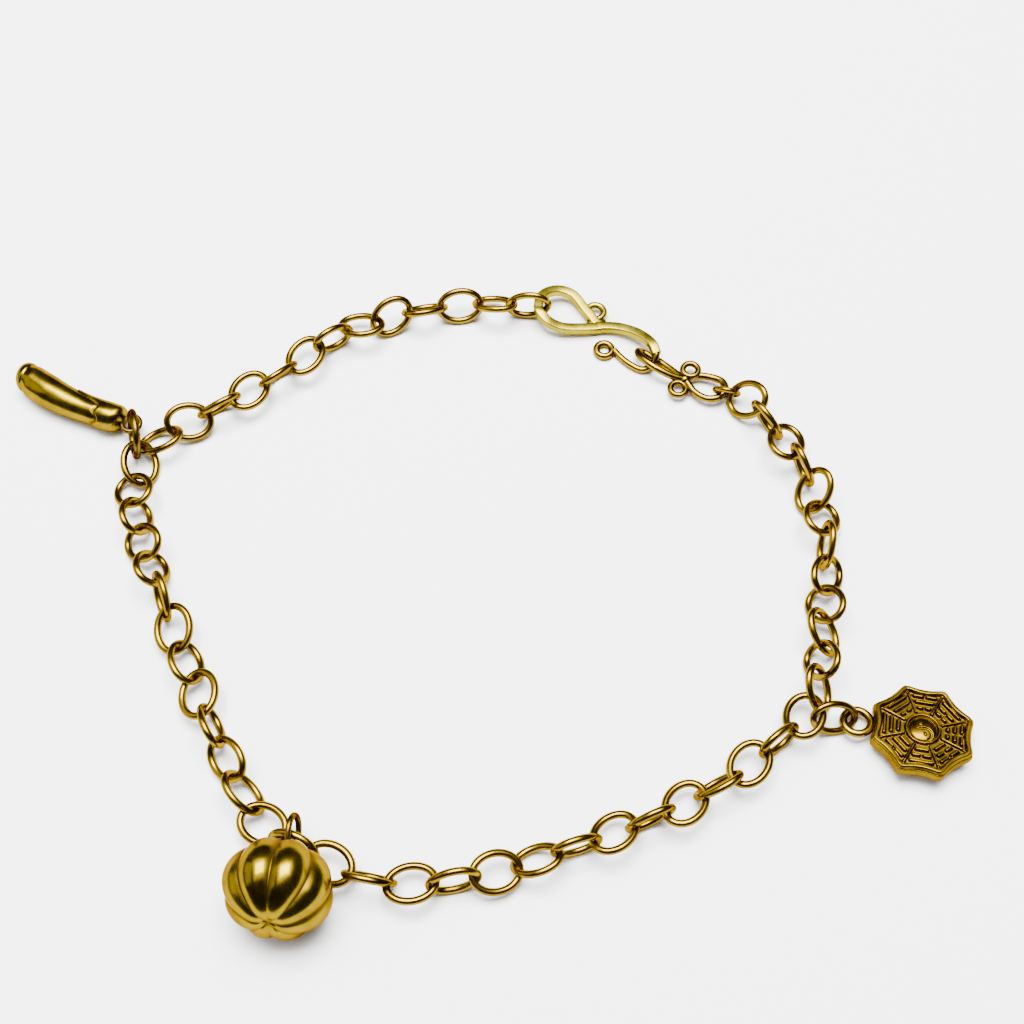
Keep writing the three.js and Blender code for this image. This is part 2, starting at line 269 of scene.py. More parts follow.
def signed_volume(mesh: bpy.types.Mesh) -> float:
    """Measures a mesh's volume, below 0 where its faces point inwards.

    Args:
        mesh: The mesh to measure.

    Returns:
        The signed volume.
    """
    mesh.calc_loop_triangles()
    corners = np.empty(len(mesh.loop_triangles) * 3, np.int32)
    mesh.loop_triangles.foreach_get("vertices", corners)
    places = np.empty(len(mesh.vertices) * 3, np.float32)
    mesh.vertices.foreach_get("co", places)
    a, b, c = places.reshape(-1, 3)[corners.reshape(-1, 3)].astype(float).transpose(1, 0, 2)
    return float(np.einsum("ij,ij->i", a, np.cross(b, c)).sum() / 6)


def finished_object(name: str, mesh: bpy.types.Mesh,
                    material: bpy.types.Material) -> bpy.types.Object:
    """Puts a mesh in the scene, smooth, dressed and with its faces outwards.

    Args:
        name: The piece's name.
        mesh: Its mesh, already in the frame.
        material: Its material.

    Returns:
        The new object, at the origin.
    """
    if signed_volume(mesh) < 0:
        mesh.flip_normals()
    mesh.shade_smooth()
    mesh.materials.clear()
    mesh.materials.append(material)
    mesh.name = name
    made = bpy.data.objects.new(name, mesh)
    bpy.context.scene.collection.objects.link(made)
    return made


def grid_mesh(name: str, rows: np.ndarray, hollow: np.ndarray | None = None) -> bpy.types.Mesh:
    """Closes a grid of points into a skin: each row is a ring, and the end rows are poles.

    Args:
        name: The mesh's name.
        rows: Points in plan millimetres, as rings by points by 3. The first and last rings
            have all their points in one place.
        hollow: How deep in a hollow each point lies, from 0 to 1, in the same layout; it sets the
            painted shade and tarnish.

    Returns:
        The mesh, in the frame.
    """
    count, around, _ = rows.shape
    inner = rows[1:-1].reshape(-1, 3)
    points = np.vstack([rows[0, :1], inner, rows[-1, :1]])
    ring = np.arange((count - 2) * around).reshape(count - 2, around) + 1
    ahead = np.roll(ring, -1, axis=1)
    quads = np.stack([ring[:-1], ahead[:-1], ahead[1:], ring[1:]], axis=-1).reshape(-1, 4)
    last = len(points) - 1
    faces = [(0, int(b), int(a)) for a, b in zip(ring[0], ahead[0])]
    faces += [tuple(map(int, quad)) for quad in quads]
    faces += [(last, int(a), int(b)) for a, b in zip(ring[-1], ahead[-1])]
    mesh = bpy.data.meshes.new(name)
    mesh.from_pydata(to_frame(points).tolist(), [], faces)
    if hollow is not None:
        values = np.concatenate([hollow[0, :1], hollow[1:-1].ravel(), hollow[-1, :1]])
        mesh.attributes.new("hollow", "FLOAT", "POINT").data.foreach_set(
            "value", values.astype(np.float32))
    return mesh


def joined(name: str, pieces: Sequence[bpy.types.Object]) -> bpy.types.Object:
    """Joins several objects to one.

    Args:
        name: The joined object's name.
        pieces: The objects, of which the first one stays.

    Returns:
        The joined object.
    """
    with bpy.context.temp_override(active_object=pieces[0], selected_editable_objects=list(pieces)):
        bpy.ops.object.join()
    pieces[0].name = name
    pieces[0].data.name = name
    return pieces[0]


def axes(along: Sequence[float], up: Sequence[float] = (0, 0, 1)) -> np.ndarray:
    """Makes axes with X along a direction and Z as near as it can be to another.

    Args:
        along: The direction of X.
        up: The direction that Z is near.

    Returns:
        A matrix whose columns are X, Y and Z.
    """
    x = np.asarray(along, float) / np.linalg.norm(along)
    y = np.cross(up, x)
    y /= np.linalg.norm(y)
    return np.column_stack([x, y, np.cross(x, y)])


def smooth_path(points: Sequence[Vec], per_span: int = 12) -> np.ndarray:
    """Runs a centripetal Catmull-Rom curve through points.

    Args:
        points: The points, in order.
        per_span: How many steps each span takes.

    Returns:
        The curve's points.
    """
    known = np.asarray(points, float)
    known = np.vstack([2 * known[0] - known[1], known, 2 * known[-1] - known[-2]])
    path = []
    for i in range(1, len(known) - 2):
        p = known[i - 1:i + 3]
        t = np.concatenate([[0], np.cumsum(np.linalg.norm(np.diff(p, axis=0), axis=1) ** 0.5)])
        for u in np.linspace(t[1], t[2], per_span, endpoint=False):
            a = [(t[k + 1] - u) / (t[k + 1] - t[k]) * p[k]
                 + (u - t[k]) / (t[k + 1] - t[k]) * p[k + 1] for k in range(3)]
            b = [(t[k + 2] - u) / (t[k + 2] - t[k]) * a[k]
                 + (u - t[k]) / (t[k + 2] - t[k]) * a[k + 1] for k in range(2)]
            path.append((t[2] - u) / (t[2] - t[1]) * b[0] + (u - t[1]) / (t[2] - t[1]) * b[1])
    path.append(known[-2])
    return np.array(path)


# Geometry Nodes


class ShapeTree:
    """A geometry tree with named inputs, run on a carrier mesh and kept as a plain mesh."""

    def __init__(self, name: str, floats: Sequence[str], counts: Sequence[str]) -> None:
        """Makes an empty tree with its inputs.

        Args:
            name: The tree's name.
            floats: Names of its sizes.
            counts: Names of its whole numbers.
        """
        self.tree = bpy.data.node_groups.new(name, "GeometryNodeTree")
        face = self.tree.interface
        face.new_socket(name="Carrier", in_out="INPUT", socket_type="NodeSocketGeometry")
        for label in floats:
            face.new_socket(name=label, in_out="INPUT", socket_type="NodeSocketFloat")
        for label in counts:
            face.new_socket(name=label, in_out="INPUT", socket_type="NodeSocketInt")
        face.new_socket(name="Finish", in_out="INPUT", socket_type="NodeSocketMaterial")
        face.new_socket(name="Shape", in_out="OUTPUT", socket_type="NodeSocketGeometry")
        self.given = add_node(self.tree, "NodeGroupInput").outputs

    def add(self, kind: str, settings: dict | None = None, inputs: dict | None = None
            ) -> bpy.types.Node:
        """Adds a node to the tree; see add_node."""
        return add_node(self.tree, kind, settings, inputs)

    def math(self, operation: str, *values: float | bpy.types.NodeSocket) -> bpy.types.NodeSocket:
        """Adds a sum of two or three values.

        Args:
            operation: The Math node's operation.
            values: Numbers or sockets.

        Returns:
            The result's socket.
        """
        given = dict(enumerate(values))
        return self.add("ShaderNodeMath", {"operation": operation}, given).outputs[0]

    def close(self, geometry: bpy.types.NodeSocket) -> None:
        """Ends the tree: realizes instances, smooths, and sets the finish.

        Args:
            geometry: The shape so far.
        """
        real = self.add("GeometryNodeRealizeInstances", None, {0: geometry})
        smooth = self.add("GeometryNodeSetShadeSmooth", None, {0: real.outputs[0]})
        dressed = self.add("GeometryNodeSetMaterial", None, {
            "Geometry": smooth.outputs[0], "Material": self.given["Finish"]})
        self.add("NodeGroupOutput", None, {0: dressed.outputs[0]})

    def run(self, name: str, carrier: bpy.types.Mesh, inputs: dict) -> bpy.types.Object:
        """Runs the tree on a carrier and keeps what it makes.

        Args:
            name: The new piece's name.
            carrier: The mesh that the tree reads.
            inputs: The tree's inputs by name.

        Returns:
            The piece, a plain mesh at the origin.
        """
        holder = bpy.data.objects.new(name + "_carrier", carrier)
        bpy.context.scene.collection.objects.link(holder)
        modifier = holder.modifiers.new("shape", "NODES")
        modifier.node_group = self.tree
        for item in self.tree.interface.items_tree:
            if item.in_out == "INPUT" and item.name in inputs:
                modifier[item.identifier] = inputs[item.name]
        graph = bpy.context.evaluated_depsgraph_get()
        mesh = bpy.data.meshes.new_from_object(holder.evaluated_get(graph), depsgraph=graph)
        holder.modifiers.remove(modifier)
        bpy.data.objects.remove(holder)
        bpy.data.meshes.remove(carrier)
        return finished_object(name, mesh, inputs["Finish"])


class LinkTree(ShapeTree):
    """Oval links of round wire, one on each of the carrier's points, turned by its attribute.

    The joint's numbers are shares of the way round a link.
    """

    PATH_STEPS = 56
    JOINT_AT = 0.3
    JOINT_REACH = 0.04

    def __init__(self) -> None:
        """Builds the tree."""
        super().__init__("oval_links", ["Length", "Width", "Wire", "Solder swell"],
                         ["Path steps", "Wire sides"])
        given = self.given
        half_long, half_short = (
            self.math("MULTIPLY", self.math("SUBTRACT", given[way], given["Wire"]), 0.5)
            for way in ("Length", "Width"))
        circle = self.add("GeometryNodeCurvePrimitiveCircle", {"mode": "RADIUS"}, {
            "Resolution": given["Path steps"], "Radius": 1.0})
        span = self.add("ShaderNodeCombineXYZ", None, {0: half_long, 1: half_short, 2: 1.0})
        oval = self.add("GeometryNodeTransform", None, {
            "Geometry": circle.outputs[0], "Scale": span.outputs[0]})
        # The soldered joint: a slight swelling a third of the way round
        share = self.add("GeometryNodeSplineParameter").outputs["Factor"]
        from_joint = self.math("ABSOLUTE", self.math("SUBTRACT", share, self.JOINT_AT))
        fall = self.math("SUBTRACT", 1.0, self.math("DIVIDE", from_joint, self.JOINT_REACH))
        bulge = self.math("MAXIMUM", fall, 0.0)
        eased = self.math("SMOOTH_MIN", bulge, 0.8, 0.4)
        girth = self.math("MULTIPLY_ADD", eased, given["Solder swell"], 1.0)
        wire = self.add("GeometryNodeSetCurveRadius", None, {
            "Curve": oval.outputs[0], "Radius": girth})
        section = self.add("GeometryNodeCurvePrimitiveCircle", {"mode": "RADIUS"}, {
            "Resolution": given["Wire sides"], "Radius": self.math("MULTIPLY", given["Wire"], 0.5)})
        sweep = self.add("GeometryNodeCurveToMesh", None, {
            "Curve": wire.outputs[0], "Profile Curve": section.outputs[0]})
        turn = self.add("GeometryNodeInputNamedAttribute", {"data_type": "QUATERNION"},
                        {"Name": "turn"})
        placed = self.add("GeometryNodeInstanceOnPoints", None, {
            "Points": given["Carrier"], "Instance": sweep.outputs[0],
            "Rotation": turn.outputs["Attribute"]})
        self.close(placed.outputs[0])

    def links(self, name: str, places: Sequence[tuple[np.ndarray, np.ndarray]],
              size: LinkSize, material: bpy.types.Material, sides: int = 16) -> bpy.types.Object:
        """Makes links of one size.

        Args:
            name: The piece's name.
            places: A middle in plan millimetres and axes for each link.
            size: The links' size.
            material: Their material.
            sides: How many sides the wire's section has.

        Returns:
            The piece.
        """
        carrier = bpy.data.meshes.new(name + "_points")
        carrier.from_pydata(to_frame(np.array([middle for middle, _ in places])).tolist(), [], [])
        turns = carrier.attributes.new("turn", "QUATERNION", "POINT")
        for i, (_, directions) in enumerate(places):
            turns.data[i].value = Matrix(directions.tolist()).to_quaternion()
        return self.run(name, carrier, {
            "Length": size.length * MM, "Width": size.width * MM, "Wire": size.wire * MM,
            "Solder swell": size.swell, "Path steps": self.PATH_STEPS, "Wire sides": sides,
            "Finish": material})


class WireTree(ShapeTree):
    """Wire of a rounded flat section along the carrier's edges, its flat side kept upwards."""

    def __init__(self) -> None:
        """Builds the tree."""
        super().__init__("bent_wire", ["Wide", "Tall", "Corner"], ["Corner steps"])
        given = self.given
        path = self.add("GeometryNodeMeshToCurve", None, {0: given["Carrier"]})
        upright = self.add("GeometryNodeSetCurveNormal", {"mode": "Z_UP"}, {0: path.outputs[0]})
        girth = self.add("GeometryNodeInputNamedAttribute", {"data_type": "FLOAT"},
                         {"Name": "girth"})
        sized = self.add("GeometryNodeSetCurveRadius", None, {
            "Curve": upright.outputs[0], "Radius": girth.outputs["Attribute"]})
        section = self.add("GeometryNodeCurvePrimitiveQuadrilateral", {"mode": "RECTANGLE"}, {
            "Width": given["Wide"], "Height": given["Tall"]})
        rounded = self.add("GeometryNodeFilletCurve", {"mode": "POLY"}, {
            "Curve": section.outputs[0], "Count": given["Corner steps"], "Radius": given["Corner"],
            "Limit Radius": True})
        sweep = self.add("GeometryNodeCurveToMesh", None, {
            "Curve": sized.outputs[0], "Profile Curve": rounded.outputs[0], "Fill Caps": True})
        self.close(sweep.outputs[0])

    def wire(self, name: str, path: np.ndarray, section: WireSection,
             material: bpy.types.Material, round_ends: bool = True) -> bpy.types.Object:
        """Makes one wire along a path.

        Args:
            name: The piece's name.
            path: The path's points in plan millimetres.
            section: The wire's section.
            material: Its material.
            round_ends: Whether the ends are rounded off.

        Returns:
            The piece.
        """
        girth = np.ones(len(path))
        if round_ends:
            gone = np.concatenate([[0], np.cumsum(np.linalg.norm(np.diff(path, axis=0), axis=1))])
            reach = section.tall / 2
            for distance in (gone, gone[-1] - gone):
                share = np.clip(distance / reach, 0.0, 1.0)
                girth = np.minimum(girth, np.sqrt(np.clip(1 - (1 - share) ** 2, 0.04, 1.0)))
        carrier = bpy.data.meshes.new(name + "_path")
        edges = [(i, i + 1) for i in range(len(path) - 1)]
        carrier.from_pydata(to_frame(path).tolist(), edges, [])
        carrier.attributes.new("girth", "FLOAT", "POINT").data.foreach_set(
            "value", girth.astype(np.float32))
        return self.run(name, carrier, {
            "Wide": section.wide * MM, "Tall": section.tall * MM, "Corner": section.corner * MM,
            "Corner steps": section.corner_steps, "Finish": material})


# The chain


@dataclass(frozen=True)
class LinkSize:
    """A link's size: long and short way across its outside, and its wire."""

    length: float = 4.85
    width: float = 3.85
    wire: float = 0.68
    swell: float = 0.12

    @classmethod
    def plain_ring(cls, outside: float, wire: float) -> LinkSize:
        """Sizes a round ring whose joint doesn't show.

        Args:
            outside: Its outside diameter.
            wire: Its wire.

        Returns:
            The size.
        """
        return cls(outside, outside, wire, 0.0)


@dataclass(frozen=True)
class WireSection:
    """A wire's section, with its corners' radius."""

    wide: float
    tall: float
    corner: float
    corner_steps: int = 4


@dataclass(frozen=True)
class Knot:
    """A knot of the chain's plan, where link n - 1 bears on link n."""

    knot: int
    x: float
    y: float


@dataclass(frozen=True)
class Run:
    """Links in a row: how each leans about its run in degrees, and to which side it turned."""

    lean: tuple[int, ...]
    turn: str


@dataclass
class CableChain:
    """The chain: oval links, each leaning its own way, from the clasp's hook round to its eye."""

    size: LinkSize = LinkSize()
    bite: float = 0.07
    gap: float = 0.27
    hook_side: int = 27
    eye_ring: LinkSize = LinkSize(2.85, 2.85, 0.55)
    eye_ring_middle: Vec = (20.94, 12.66, 1.38)
    eye_ring_along: Vec = (0.13, -0.43, 0.89)
    eye_ring_face: Vec = (0.2, 0.89, 0.4)
    route: tuple[Knot, ...] = (
        Knot(0, 3.3, 22.4),  # clasp hook
        Knot(2, -3.4, 22.9),
        Knot(4, -10.5, 21.8),
        Knot(6, -16.4, 19.5),
        Knot(9, -24.2, 13.4),
        Knot(13, -35.0, 6.2),  # aubergine's corner
        Knot(14, -35.9, 3.0),
        Knot(16, -34.6, -2.9),
        Knot(18, -32.4, -8.3),
        Knot(21, -28.3, -17.7),
        Knot(24, -23.8, -26.8),
        Knot(26, -20.0, -32.42),  # behind the melon
        Knot(27, -16.6, -33.85),
        Knot(28, -13.6, -35.4),
        Knot(30, -6.6, -36.3),
        Knot(33, 3.8, -33.6),
        Knot(37, 16.2, -28.6),
        Knot(40, 24.4, -22.6),
        Knot(41, 26.6, -20.2),  # octagon's corner
        Knot(43, 27.7, -14.7),
        Knot(46, 28.9, -6.2),
        Knot(48, 28.7, -0.2),
        Knot(50, 26.9, 5.2),
        Knot(53, 21.95, 12.6),  # clasp eye
    )
    runs: tuple[Run, ...] = (
        Run((90, 35, -60, 45, -60, 20, 85, 5, 60, 0, 65, -40, 30), "--+++-++++---"),
        Run((-30, 25, -55, 40, -50, 75, 20, -45, 15, -70, 45, -50, 5), "++-+------+++"),
        Run((66,), "+"),
        Run((12, -70, -10, 80, 20, -35, 90, -20, -85, -10, -65, -10, 85, -15), "+++++--+-+-+-+"),
        Run((55, -55, 45, -45, 45, -80, 30, -45, 80, 20, 75, -50), "++++----+-++"),
    )
    leans: list[float] = field(init=False)
    turns: list[int] = field(init=False)

    def __post_init__(self) -> None:
        """Lays the runs' columns end to end."""
        self.leans = [math.radians(lean) for run in self.runs for lean in run.lean]
        self.turns = [1 if side == "+" else -1 for run in self.runs for side in run.turn]

    def plan(self, knot: float) -> np.ndarray:
        """Finds a knot's place in the plan.

        Args:
            knot: The knot's number.

        Returns:
            Its x and y.
        """
        rows = self.route
        place = [np.array([row.x, row.y]) for row in rows]
        i = max(next(k for k, row in enumerate(rows) if row.knot >= knot) - 1, 0)
        speed = []
        for k in (i, i + 1):
            before, after = max(k - 1, 0), min(k + 1, len(rows) - 1)
            speed.append((place[after] - place[before]) / (rows[after].knot - rows[before].knot))
        h = rows[i + 1].knot - rows[i].knot
        t = (knot - rows[i].knot) / h
        return ((2 * t ** 3 - 3 * t ** 2 + 1) * place[i] + (3 * t ** 2 - 2 * t ** 3) * place[i + 1]
                + h * ((t ** 3 - 2 * t ** 2 + t) * speed[0] + (t ** 3 - t ** 2) * speed[1]))

    def yaw(self, index: int, bites: float) -> float:
        """Finds how far a slack link has turned in its own plane to bear on both neighbours.

        Args:
            index: The link's number.
            bites: How far it presses into its neighbours, both ends added.

        Returns:
            The angle in radians.
        """
        long = self.size.length / 2 - self.size.wire
        short = self.size.width / 2 - self.size.wire
        span = float(np.linalg.norm(self.plan(index + 1) - self.plan(index)))
        reach = min((span - bites) / 2, long)
        share = ((long * short / reach) ** 2 - short ** 2) / (long ** 2 - short ** 2)
        return self.turns[index] * math.asin(math.sqrt(min(1.0, max(0.0, share))))

    def rise(self, index: int) -> float:
        """Finds how far a link's wire reaches above and below its middle.

        Args:
            index: The link's number.

        Returns:
            The reach in millimetres, 0 past the chain's ends.
        """
        if not 0 <= index < len(self.leans):
            return 0.0
        yaw = self.yaw(index, 2 * self.bite)
        long = (self.size.length - self.size.wire) / 2
        short = (self.size.width - self.size.wire) / 2
        across = math.hypot(long * math.sin(yaw), short * math.cos(yaw))
        return across * abs(math.sin(self.leans[index]))

    def knot(self, index: int) -> np.ndarray:
        """Finds a knot's place above the surface.

        Args:
            index: The knot's number.

        Returns:
            Its x, y and z.
        """
        height = self.size.wire / 2 + max(self.rise(index - 1), self.rise(index))
        return np.array([*self.plan(index), height])

    def place(self, index: int, start_bite: float) -> tuple[np.ndarray, np.ndarray]:
        """Places a link between its two knots.

        Args:
            index: The link's number.
            start_bite: How far it presses into the link before it.

        Returns:
            Its middle and its axes.
        """
        start, end = self.knot(index), self.knot(index + 1)
        along = (end - start) / np.linalg.norm(end - start)
        middle = (start + end) / 2 + along * (start_bite - self.bite) / 2
        lean = np.array(Matrix.Rotation(self.leans[index], 3, "X"))
        turn = np.array(Matrix.Rotation(self.yaw(index, start_bite + self.bite), 3, "Z"))
        return middle, axes(along) @ lean @ turn

    def build(self, shop: Workshop, tree: LinkTree) -> None:
        """Makes both halves of the chain and the small ring that holds the clasp's eye.

        Args:
            shop: The workshop.
            tree: The links' tree.
        """
        material = shop.material(Finish.WIRE)
        places = [self.place(i, self.bite) for i in range(self.hook_side)]
        shop.set_down(tree.links("cable_chain_hook_side", places, self.size, material),
                      ["chain_hook_side"])
        places = [self.place(self.hook_side, -self.gap - self.bite)]
        places += [self.place(i, self.bite) for i in range(self.hook_side + 1, len(self.leans))]
        half = tree.links("cable_chain_eye_side", places, self.size, material)
        ring = tree.links("eye_ring", [(np.array(self.eye_ring_middle),
                                        axes(self.eye_ring_along, self.eye_ring_face))],
                          self.eye_ring, material)
        shop.set_down(joined("cable_chain_eye_side", [half, ring]), ["chain_eye_side"])


@dataclass(frozen=True)
class LooseRing:
    """A ring or link that holds a charm to the chain."""

    name: str
    node: str
    size: LinkSize
    middle: Vec
    along: Vec
    face: Vec
    finish: Finish

    def build(self, shop: Workshop, tree: LinkTree) -> None:
        """Makes the ring.

        Args:
            shop: The workshop.
            tree: The links' tree.
        """
        place = (np.array(self.middle), axes(self.along, self.face))
        made = tree.links(self.name, [place], self.size, shop.material(self.finish), sides=24)
        shop.set_down(made, [self.node])


RINGS = (
    LooseRing("aubergine_jump_ring", "aubergine_ring", LinkSize(4.9, 4.9, 0.7),
              (-36.07, 7.17, 2.42), (0.21, -0.97, -0.16), (0.95, 0.24, -0.22), Finish.DARK_WIRE),
    LooseRing("melon_jump_ring", "melon_ring", LinkSize(3.24, 3.24, 0.54),
              (-18.28, -32.06, 2.74), (0.02, 0.88, 0.48), (0.98, -0.11, 0.17), Finish.DARK_WIRE),
    LooseRing("octagon_jump_link", "octagon_link", LinkSize(4.7, 3.5, 0.64),
              (28.12, -21.47, 1.7), (0.92, 0.03, -0.4), (0.24, -0.83, 0.51), Finish.WIRE),
)


# The clasp


@dataclass
class ClaspHook:
    """The hook: flattened wire in a teardrop loop and an S, with a soldered curl, whose round
    end turns back through the eye to an end curl."""

    flat: WireSection = WireSection(0.92, 0.84, 0.15)
    round_wire: WireSection = WireSection(0.68, 0.72, 0.33)
    drop: tuple[Vec, ...] = (
        (8.9, 20.7, 0.75), (6.8, 20.5, 0.9), (4.8, 20.5, 1.15), (3.4, 21.1, 1.6),
        (2.65, 22.3, 1.9), (3.1, 24.0, 1.75), (4.6, 24.9, 1.35), (6.1, 24.5, 1.15),
        (7.3, 22.9, 0.95), (8.5, 21.2, 0.75),
    )
    body: tuple[Vec, ...] = (
        (8.3, 20.8, 0.75), (10.6, 20.6, 0.9), (12.6, 19.6, 1.25), (13.9, 18.2, 1.5),
        (14.3, 17.1, 1.4),
    )
    back: tuple[Vec, ...] = (
        (13.9, 18.2, 1.5), (14.3, 17.1, 1.4), (13.7, 16.1, 0.65), (12.9, 15.9, 0.4),
        (11.9, 16.4, 0.38), (10.9, 17.3, 0.38), (10.2, 18.2, 0.38),
    )
    curl: LinkSize = LinkSize.plain_ring(2.44, 0.7)
    curl_middle: Vec = (8.4, 22.6, 0.8)
    end_curl: LinkSize = LinkSize.plain_ring(2.26, 0.7)
    end_curl_middle: Vec = (9.2, 18.3, 0.38)
    solder_middle: Vec = (8.45, 21.3, 0.72)
    solder_radii: Vec = (1.0, 0.85, 0.44)

    def build(self, shop: Workshop, wires: WireTree, rings: LinkTree) -> None:
        """Makes the hook.

        Args:
            shop: The workshop.
            wires: The bent wire's tree.
            rings: The links' tree, for the curls.
        """
        bright = shop.material(Finish.FLATTENED)
        plain = shop.material(Finish.WIRE)
        flat_axes = np.eye(3)
        pieces = [
            wires.wire("hook_drop", smooth_path(self.drop), self.flat, bright),
            wires.wire("hook_body", smooth_path(self.body), self.flat, bright),
            wires.wire("hook_back", smooth_path(self.back), self.round_wire, plain),
            rings.links("hook_curl", [(np.array(self.curl_middle), flat_axes)], self.curl, bright),
            rings.links("hook_end_curl", [(np.array(self.end_curl_middle), flat_axes)],
                        self.end_curl, plain),
            solder_bead("hook_solder", self.solder_middle, self.solder_radii, bright),
        ]
        shop.set_down(joined("clasp_hook_wire", pieces), ["clasp_hook"])


def solder_bead(name: str, middle: Vec, radii: Vec, material: bpy.types.Material
                ) -> bpy.types.Object:
    """Makes a flowed bead of solder.

    Args:
        name: The bead's name.
        middle: Its middle in plan millimetres.
        radii: Its half sizes along X, Y and Z.
        material: Its material.

    Returns:
        The bead.
    """
    polar = np.linspace(0, math.pi, 17)[:, None]
    around = np.linspace(0, FULL_TURN, 32, endpoint=False)[None, :]
    wobble = (1 + 0.05 * np.sin(3 * around + 0.7) * np.sin(polar)
              + 0.03 * np.sin(5 * around) * np.sin(polar))
    rows = np.stack([np.sin(polar) * np.cos(around) * wobble * radii[0],
                     np.sin(polar) * np.sin(around) * wobble * radii[1],
                     -np.cos(polar) * radii[2] + 0 * around], axis=-1) + np.array(middle)
    return finished_object(name, grid_mesh(name, rows), material)


@dataclass
class ClaspEye:
    """The eye: a figure of eight in round wire, with a small curl to each side."""

    wire: WireSection = WireSection(0.74, 0.74, 0.369)
    curl: LinkSize = LinkSize.plain_ring(2.14, 0.62)
    curl_middles: tuple[Vec, Vec] = ((17.6, 15.4, 1.1), (16.3, 13.4, 0.8))
    solder_radii: Vec = (0.58, 0.55, 0.5)
    # How far from the crossing each half starts and ends, as a share of the way to its points
    crossing_reach: float = 0.1
    crossing: Vec = (17.0, 14.4, 0.9)
    long: tuple[Vec, ...] = (
        (15.4, 16.2, 0.45), (14.0, 17.4, 0.38), (12.9, 17.9, 0.6), (12.5, 17.6, 1.05),
        (12.9, 16.5, 1.5), (14.2, 15.3, 1.55), (15.8, 14.6, 1.2),
    )
    round: tuple[Vec, ...] = (
        (18.3, 14.9, 0.8), (19.8, 14.6, 0.9), (20.7, 14.0, 1.05), (20.85, 13.0, 1.15),
        (20.1, 12.2, 1.05), (19.0, 12.2, 0.9), (17.9, 13.0, 0.8),
    )

    def half(self, points: Sequence[Vec]) -> np.ndarray:
        """Runs a half of the eight from the crossing and back.

        Args:
            points: The half's points.

        Returns:
            Its path.
        """
        crossing = np.array(self.crossing)
        ends = [crossing + self.crossing_reach * (np.array(end) - crossing)
                for end in (points[0], points[-1])]
        return smooth_path([tuple(ends[0]), *points, tuple(ends[1])])

    def build(self, shop: Workshop, wires: WireTree, rings: LinkTree) -> None:
        """Makes the eye.

        Args:
            shop: The workshop.
            wires: The bent wire's tree.
            rings: The links' tree, for the curls.
        """
        plain = shop.material(Finish.WIRE)
        pieces = [
            wires.wire("eye_long", self.half(self.long), self.wire, plain),
            wires.wire("eye_round", self.half(self.round), self.wire, plain),
            rings.links("eye_curls", [(np.array(at), np.eye(3)) for at in self.curl_middles],
                        self.curl, plain),
            solder_bead("eye_solder", self.crossing, self.solder_radii, plain),
        ]
        shop.set_down(joined("clasp_eye_wire", pieces), ["clasp_eye"])


# The charms


@dataclass
class Aubergine:
    """The aubergine: a long bent fruit under a calyx with pointed leaves, and its stem's loop."""

    length: float = 12.4
    radius: float = 1.65
    sag: float = 0.75
    tip: Vec = (-48.3, 14.9, 1.65)
    stem: Vec = (-36.9, 9.0, 1.5)
    calyx_from: float = 0.8
    leaf: float = 0.24
    leaf_side: float = 0.62
    leaf_wide: float = 0.55
    # Share of the length that the round end takes
    nose: float = 0.1
    loop: LinkSize = LinkSize.plain_ring(2.26, 0.5)
    loop_past: float = 0.6
    profile: tuple[tuple[float, float], ...] = (
        (0.0, 0.0), (0.02, 0.42), (0.07, 0.78), (0.16, 0.98), (0.32, 1.0), (0.5, 0.9), (0.66, 0.8),
        (0.76, 0.79), (0.85, 0.8), (0.93, 0.74), (0.965, 0.6), (0.99, 0.36), (1.0, 0.3), (1.0, 0.0),
    )

    def build(self, shop: Workshop, rings: LinkTree) -> None:
        """Makes the charm.

        Args:
            shop: The workshop.
            rings: The links' tree, for the loop.
        """
        known = np.array(self.profile)
        steps, around = 150, 96
        # Rings stand closer towards both ends
        spread = (1 - np.cos(np.linspace(0.05, math.pi - 0.02, steps))) / 2
        along = np.concatenate([[0], spread, [1]])
        reach = np.interp(along, known[:, 0], known[:, 1])
        kernel = np.array([1, 2, 3, 2, 1]) / 9
        for _ in range(3):
            reach = np.convolve(np.pad(reach, 2, mode="edge"), kernel, mode="valid")
        reach[0] = reach[-1] = 0
        # The round end is a true round: a circle's quarter over the nose
        nose = along < self.nose
        quarter = np.sqrt(1 - (1 - along[nose] / self.nose) ** 2)
        reach[nose] = np.maximum(reach[nose], 0.9 * quarter)
        reach[0] = 0
        angle = np.linspace(0, FULL_TURN, around, endpoint=False)
        # A plain cap with one long leaf at the back, and faint points between
        from_leaf = np.angle(np.exp(1j * (angle - self.leaf_side)))
        edge = self.calyx_from - self.leaf * np.exp(-((from_leaf / self.leaf_wide) ** 2))
        edge = edge - 0.02 * np.cos(5 * from_leaf)
        over = along[:, None] - edge[None, :]
        lip = smoothstep(0.0, 0.014, over) * (0.09 + 0.03 * smoothstep(0.0, 0.2, over))
        lip *= smoothstep(1.0, 0.95, along)[:, None]
        crease = 0.05 * np.exp(-((over + 0.008) / 0.01) ** 2)
        wide = (reach[:, None] + (lip - crease) * (reach[:, None] > 0.05)) * self.radius
        x = along * self.length
        local = np.stack([x[:, None] + 0 * wide, wide * np.cos(angle), wide * np.sin(angle)],
                         axis=-1)
        local[..., 1] -= (4 * self.sag * along * (1 - along))[:, None]
        directions = axes(np.array(self.stem) - np.array(self.tip))
        rows = local @ directions.T + np.array(self.tip)
        # Painted shade and tarnish along the crease at the calyx's edge
        hollow = np.exp(-((over + 0.006) / 0.014) ** 2)
        cast = shop.material(Finish.SMOOTH_CAST)
        body = finished_object("aubergine_body", grid_mesh("aubergine_body", rows, hollow), cast)
        middle = np.array([self.length + self.loop_past, 0, 0]) @ directions.T + np.array(self.tip)
        loop = rings.links("aubergine_loop", [(middle, directions)], self.loop,
                           shop.material(Finish.DARK_WIRE))
        shop.set_down(joined("aubergine_fruit", [body, loop]), ["aubergine_charm"])


